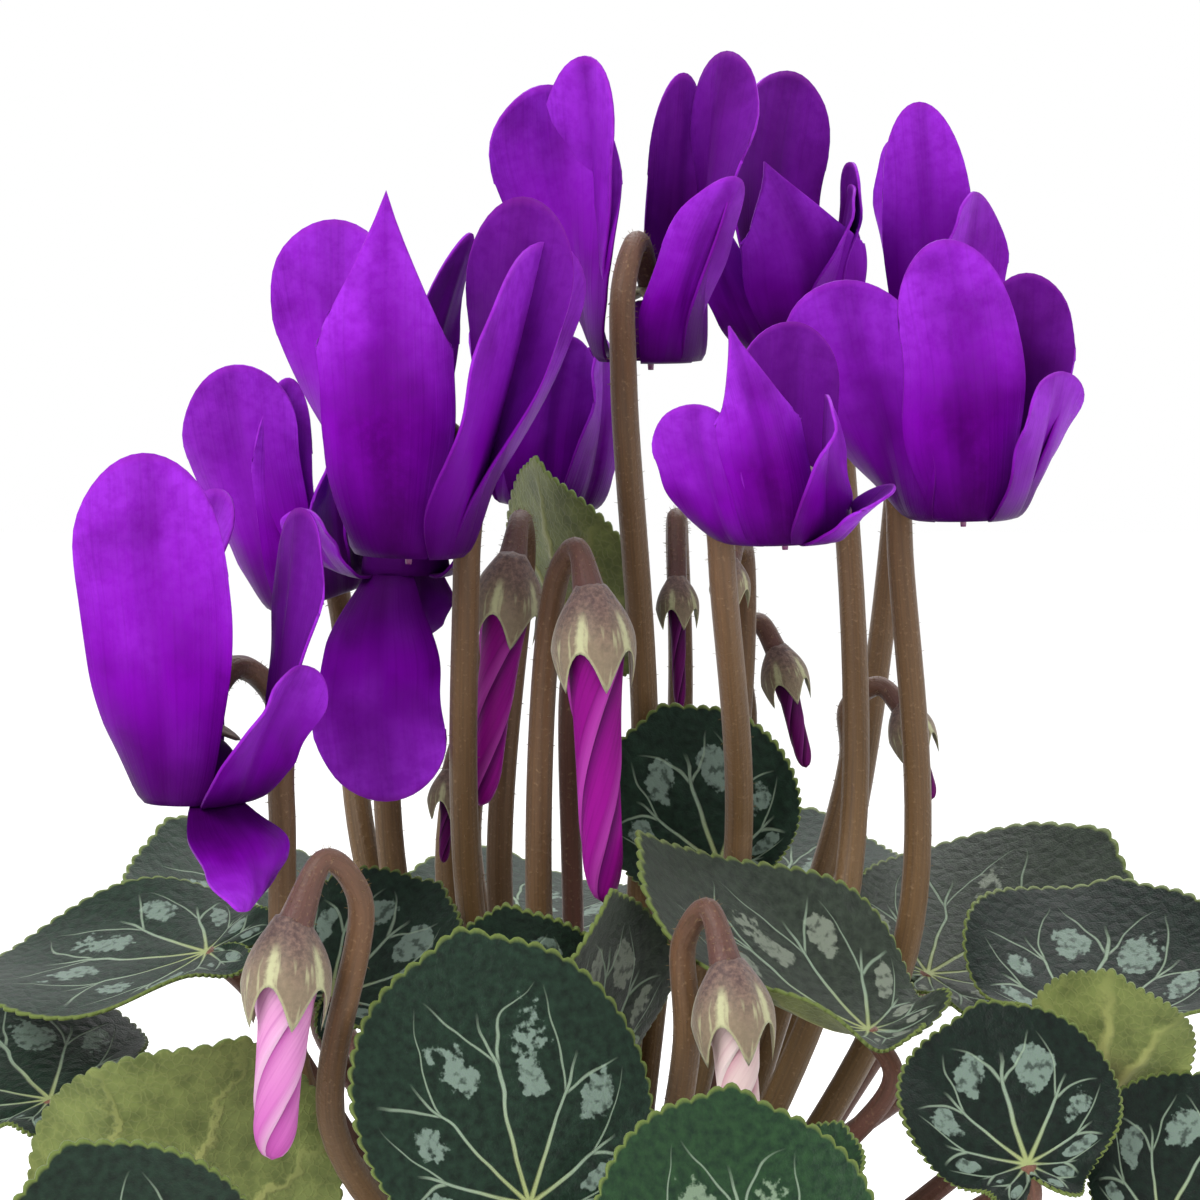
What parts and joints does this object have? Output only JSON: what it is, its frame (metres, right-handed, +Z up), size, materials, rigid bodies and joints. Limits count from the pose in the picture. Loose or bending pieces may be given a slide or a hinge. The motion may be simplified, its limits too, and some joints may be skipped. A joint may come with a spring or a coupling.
{
  "type": "potted cyclamen",
  "caption": "Potted cyclamen with reflexed violet blooms on bare stems, nodding furled buds and marbled heart-shaped leaves over a plain round pot.",
  "frame": {"origin": "centre of the pot's flat underside, on the surface that it stands on", "axes": "+Z up along the pot's axis, -Y towards the side of the plant that the reference view shows"},
  "size_m": [0.2065, 0.1923, 0.2897],
  "materials": {
    "pot": "matt terracotta-coloured moulded polypropylene",
    "soil": "moist dark potting soil with fibres and pale grains",
    "tuber": "rough brown corky skin",
    "petal": "satin violet petals with fine lengthwise veins",
    "scape": "smooth reddish brown to ochre stalks with fine lengthwise lines",
    "leaf": "dark green with silver-sage veins and blotches, olive underside",
    "bud_violet": "satin magenta-violet furled petals",
    "bud_pink": "satin pink furled petals, paler towards the calyx",
    "bud_pale": "satin pale pink-white furled petals"
  },
  "bodies": {
    "root": {"bloom_a_petals": "petal", "bloom_a_scape": "scape", "bloom_b_petals": "petal", "bloom_b_scape": "scape", "bloom_c_petals": "petal", "bloom_c_scape": "scape", "bloom_d_petals": "petal", "bloom_d_scape": "scape", "bloom_e_petals": "petal", "bloom_e_scape": "scape", "bloom_f_petals": "petal", "bloom_f_scape": "scape", "bloom_g_petals": "petal", "bloom_g_scape": "scape", "bloom_h_petals": "petal", "bloom_h_scape": "scape", "bloom_i_petals": "petal", "bloom_i_scape": "scape", "bloom_j_petals": "petal", "bloom_j_scape": "scape", "bud_k_corolla": "bud_pink", "bud_k_scape": "scape", "bud_l_corolla": "bud_violet", "bud_l_scape": "scape", "bud_m_corolla": "bud_violet", "bud_m_scape": "scape", "bud_n_corolla": "bud_pale", "bud_n_scape": "scape", "bud_o_corolla": "bud_violet", "bud_o_scape": "scape", "bud_p_corolla": "bud_violet", "bud_p_scape": "scape", "bud_q_corolla": "bud_violet", "bud_q_scape": "scape", "bud_r_corolla": "bud_violet", "bud_r_scape": "scape", "bud_s_corolla": "bud_violet", "bud_s_scape": "scape", "leaf_l01": "leaf", "leaf_l02": "leaf", "leaf_l03": "leaf", "leaf_l04": "leaf", "leaf_l05": "leaf", "leaf_l06": "leaf", "leaf_l08": "leaf", "leaf_l09": "leaf", "leaf_l10": "leaf", "leaf_l11": "leaf", "leaf_l12": "leaf", "leaf_l13": "leaf", "leaf_l14": "leaf", "leaf_l15": "leaf", "leaf_l18": "leaf", "leaf_l16_l17": "leaf", "leaf_b01_b05": "leaf", "leaf_b02_l07": "leaf", "leaf_b03_b04": "leaf", "pot": "pot", "tuber": "tuber", "soil": "soil"}
  },
  "joints": []
}
